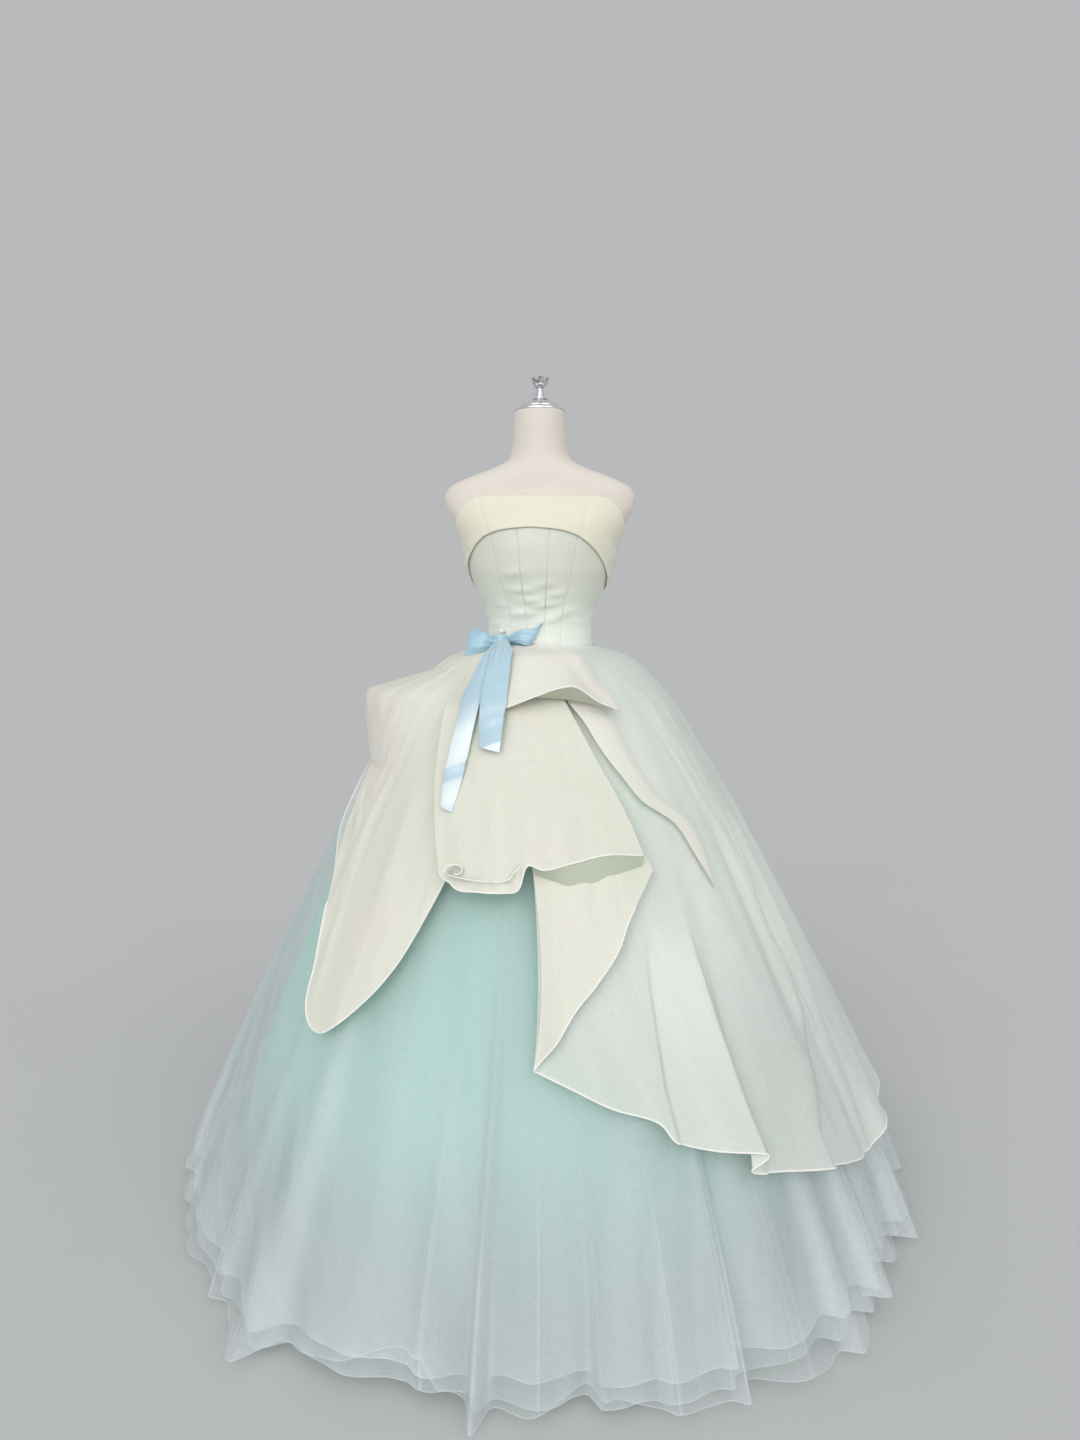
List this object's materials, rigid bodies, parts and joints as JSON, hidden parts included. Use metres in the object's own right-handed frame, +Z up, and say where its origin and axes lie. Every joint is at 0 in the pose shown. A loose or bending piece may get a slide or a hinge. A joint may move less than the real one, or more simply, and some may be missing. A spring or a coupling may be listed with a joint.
{
  "type": "ball gown on a dress form",
  "caption": "Strapless ball gown with a fold-over cuff, boned bodice, mint-lined tulle skirt, petalled organza overskirt and satin bow, on a limbless dress form and stand.",
  "frame": {"origin": "on the floor under the stand's pole, at the middle of the base's underside", "axes": "+Z up along the pole; -Y towards the front of the gown; +X to the right of someone who looks at the front"},
  "size_m": [1.4643, 1.6073, 1.593],
  "materials": {
    "form_skin": "satin painted fibreglass",
    "chrome": "polished",
    "crystal": "cut and polished",
    "mikado": "heavy satin weave with a soft sheen",
    "mint_lining": "smooth lining satin",
    "tulle": "sheer soft net",
    "organza": "crisp sheer weave with a narrow rolled hem",
    "blue_satin": "glossy ribbon satin",
    "pearl": "pearlescent"
  },
  "bodies": {
    "root": {"form_torso": "form_skin", "form_pole": "chrome", "form_base": "chrome", "form_neck_cap": "chrome", "form_finial": "crystal", "bodice_centre_front": "mikado", "bodice_front_left": "mikado", "bodice_front_right": "mikado", "bodice_side_front_left": "mikado", "bodice_side_front_right": "mikado", "bodice_side_back_left": "mikado", "bodice_side_back_right": "mikado", "bodice_back_left": "mikado", "bodice_back_right": "mikado", "zip_placket": "mikado", "cuff_front": "mikado", "cuff_back_left": "mikado", "cuff_back_right": "mikado", "lining_front": "mint_lining", "lining_side_right": "mint_lining", "lining_back_right": "mint_lining", "lining_back_left": "mint_lining", "lining_side_left": "mint_lining", "tulle_under_front": "tulle", "tulle_under_back_right": "tulle", "tulle_under_back_left": "tulle", "tulle_outer_front": "tulle", "tulle_outer_back_right": "tulle", "tulle_outer_back_left": "tulle", "overskirt_right": "organza", "overskirt_back_right": "organza", "overskirt_back_left": "organza", "petal_left": "organza", "petal_centre": "organza", "flounce": "organza", "facing_right": "organza", "cascade": "organza", "bow_knot": "blue_satin", "bow_loop_left": "blue_satin", "bow_loop_right": "blue_satin", "bow_tail_short": "blue_satin", "bow_tail_long": "blue_satin", "bow_pearl": "pearl"}
  },
  "joints": []
}
